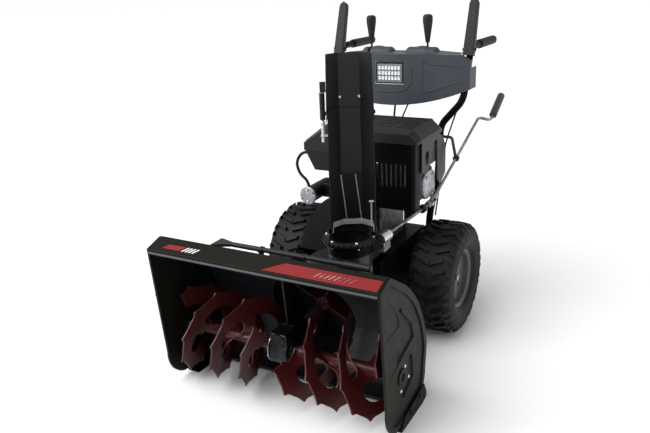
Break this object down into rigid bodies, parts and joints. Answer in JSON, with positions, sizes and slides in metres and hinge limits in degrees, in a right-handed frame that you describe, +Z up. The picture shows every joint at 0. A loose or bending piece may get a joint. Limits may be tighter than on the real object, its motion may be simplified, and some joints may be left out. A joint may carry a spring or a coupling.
{
  "type": "two stage snowblower",
  "caption": "Walk-behind two stage snowblower: serrated augers in a wide housing, impeller, turning chute with tilting hood, engine, dash with levers, and two lugged wheels.",
  "frame": {"origin": "on the ground under the middle of the machine's box", "axes": "+Z up, -Y the way the machine drives (auger end), +X the operator's left"},
  "size_m": [0.7964, 1.395, 1.1705],
  "materials": {
    "housing_paint": "gloss",
    "black_paint": "satin",
    "red_paint": "gloss",
    "cast_metal": "matte",
    "engine_metal": "satin",
    "zinc": "satin",
    "shaft_steel": "satin",
    "bronze": "satin",
    "black_plastic": "matte",
    "console_plastic": "satin",
    "lens": "gloss",
    "tyre": "matte",
    "rim_paint": "satin",
    "rubber": "matte"
  },
  "bodies": {
    "machine": {"auger_housing": "housing_paint", "deck_cover": "housing_paint", "side_plate_left": "housing_paint", "side_plate_right": "housing_paint", "impeller_housing": "housing_paint", "scraper_bar": "black_paint", "skid_shoes": "black_paint", "chute_base_ring": "black_paint", "gearbox_support": "black_paint", "drive_frame": "black_paint", "handle_lower": "black_paint", "handle_upper": "black_paint", "muffler_guard": "black_paint", "gearbox_case": "cast_metal", "engine_block": "engine_metal", "muffler": "engine_metal", "starter_motor": "engine_metal", "auger_bearings": "zinc", "worm_bracket": "zinc", "fasteners": "zinc", "belt_cover": "black_plastic", "engine_top_cover": "black_plastic", "engine_side_cover": "black_plastic", "blower_housing": "black_plastic", "fuel_tank": "black_plastic", "rod_guides": "black_plastic", "headlight_case": "black_plastic", "console": "console_plastic", "headlight_lens": "lens", "grips": "rubber", "drive_belts": "rubber", "control_cables": "rubber", "starter_lead": "rubber"},
    "auger": {"auger_shaft": "shaft_steel", "worm_wheel": "bronze", "auger_flight_left": "red_paint", "auger_flight_right": "red_paint"},
    "impeller_unit": {"impeller": "red_paint", "impeller_shaft": "shaft_steel"},
    "crankshaft": {"engine_pulley": "shaft_steel"},
    "disc_unit": {"drive_disc": "shaft_steel"},
    "wheels": {"axle_shaft": "shaft_steel", "wheel_rims": "rim_paint", "tyres": "tyre"},
    "cross_shaft_unit": {"cross_shaft": "shaft_steel"},
    "friction_unit": {"friction_wheel": "rubber"},
    "chute_unit": {"chute": "black_plastic", "chute_hardware": "zinc"},
    "hood": {"deflector": "black_plastic"},
    "worm_unit": {"chute_worm": "zinc"},
    "crank": {"crank_rod": "zinc"},
    "crank_handle": {"crank_grip": "rubber"},
    "speed_control": {"speed_lever": "black_plastic"},
    "hood_control": {"deflector_lever": "black_plastic"},
    "clutch_left": {"clutch_lever_left": "black_plastic"},
    "clutch_right": {"clutch_lever_right": "black_plastic"},
    "tool": {"clean_out_tool": "black_plastic"},
    "starter_pull": {"recoil_handle": "black_plastic"},
    "cap": {"fuel_cap": "black_plastic"},
    "choke": {"choke_knob": "black_plastic"}
  },
  "joints": [
    {"name": "auger_spin", "type": "hinge", "parent": "machine", "child": "auger", "pos_m": [0, -0.551, 0.175], "axis": [1, 0, 0], "continuous": true},
    {"name": "impeller_spin", "type": "hinge", "parent": "machine", "child": "impeller_unit", "pos_m": [0, -0.26, 0.218], "axis": [0, 1, 0], "continuous": true},
    {"name": "engine_spin", "type": "hinge", "parent": "machine", "child": "crankshaft", "pos_m": [0, -0.16, 0.47], "axis": [0, 1, 0], "continuous": true},
    {"name": "drive_disc_spin", "type": "hinge", "parent": "machine", "child": "disc_unit", "pos_m": [0, -0.13, 0.262], "axis": [0, 1, 0], "continuous": true},
    {"name": "axle_spin", "type": "hinge", "parent": "machine", "child": "wheels", "pos_m": [0, 0.094, 0.206], "axis": [1, 0, 0], "continuous": true},
    {"name": "cross_shaft_spin", "type": "hinge", "parent": "machine", "child": "cross_shaft_unit", "pos_m": [0, -0.0355, 0.262], "axis": [1, 0, 0], "continuous": true},
    {"name": "friction_shift", "type": "slide", "parent": "cross_shaft_unit", "child": "friction_unit", "axis": [1, 0, 0], "range_m": [-0.035, 0.035]},
    {"name": "speed_lever_tilt", "type": "hinge", "parent": "machine", "child": "speed_control", "pos_m": [-0.118, 0.366, 0.95], "axis": [1, 0, 0], "range_deg": [-25, 25]},
    {"name": "deflector_tilt", "type": "hinge", "parent": "chute_unit", "child": "hood", "pos_m": [0.10076, -0.28806, 0.87], "axis": [0.8829, 0.4695, 0], "range_deg": [0, 60]},
    {"name": "deflector_lever_tilt", "type": "hinge", "parent": "machine", "child": "hood_control", "pos_m": [0.114, 0.366, 0.95], "axis": [1, 0, 0], "range_deg": [-25, 25]},
    {"name": "clutch_lever_left_squeeze", "type": "hinge", "parent": "machine", "child": "clutch_left", "pos_m": [0.27, 0.383, 0.992], "axis": [-1, 0, 0], "range_deg": [0, 58], "stiffness_Nm_per_rad": 1.2, "springref_deg": -17.19},
    {"name": "clutch_lever_right_squeeze", "type": "hinge", "parent": "machine", "child": "clutch_right", "pos_m": [-0.27, 0.383, 0.992], "axis": [-1, 0, 0], "range_deg": [0, 58], "stiffness_Nm_per_rad": 1.2, "springref_deg": -17.19},
    {"name": "chute_turn", "type": "hinge", "parent": "machine", "child": "chute_unit", "pos_m": [0.097, -0.281, 0.46], "axis": [0, 0, 1], "range_deg": [-128, 72]},
    {"name": "worm_turn", "type": "hinge", "parent": "machine", "child": "worm_unit", "pos_m": [0.199, -0.2365, 0.464], "axis": [0.1429, 0.986, 0.0857], "range_deg": [-3072, 1728]},
    {"name": "crank_turn", "type": "hinge", "parent": "machine", "child": "crank", "pos_m": [0.244, 0.074, 0.491], "axis": [0.1297, 0.8196, 0.558], "range_deg": [-3072, 1728]},
    {"name": "crank_grip_spin", "type": "hinge", "parent": "crank", "child": "crank_handle", "pos_m": [0.35, 0.418, 0.726], "axis": [0, 0.8855, 0.4647], "continuous": true},
    {"name": "clean_out_tool_lift", "type": "slide", "parent": "machine", "child": "tool", "axis": [0, 0, 1], "range_m": [0, 0.15]},
    {"name": "recoil_pull", "type": "slide", "parent": "machine", "child": "starter_pull", "axis": [0, 1, 0], "range_m": [0, 0.5], "stiffness_N_per_m": 20, "springref_m": -0.05},
    {"name": "fuel_cap_turn", "type": "hinge", "parent": "machine", "child": "cap", "pos_m": [-0.06, 0.206, 0.74], "axis": [0, 0, 1], "range_deg": [0, 90]},
    {"name": "choke_knob_turn", "type": "hinge", "parent": "machine", "child": "choke", "pos_m": [-0.2, 0.04, 0.65], "axis": [1, 0, 0], "range_deg": [0, 90]}
  ],
  "couplings": [
    {"joint": "impeller_spin", "follows": "auger_spin", "ratio": 10},
    {"joint": "cross_shaft_spin", "follows": "axle_spin", "ratio": 3},
    {"joint": "friction_shift", "follows": "speed_lever_tilt", "m_per_rad": 0.078},
    {"joint": "deflector_lever_tilt", "follows": "deflector_tilt", "ratio": 0.4},
    {"joint": "worm_turn", "follows": "chute_turn", "ratio": 24},
    {"joint": "crank_turn", "follows": "chute_turn", "ratio": 24}
  ]
}
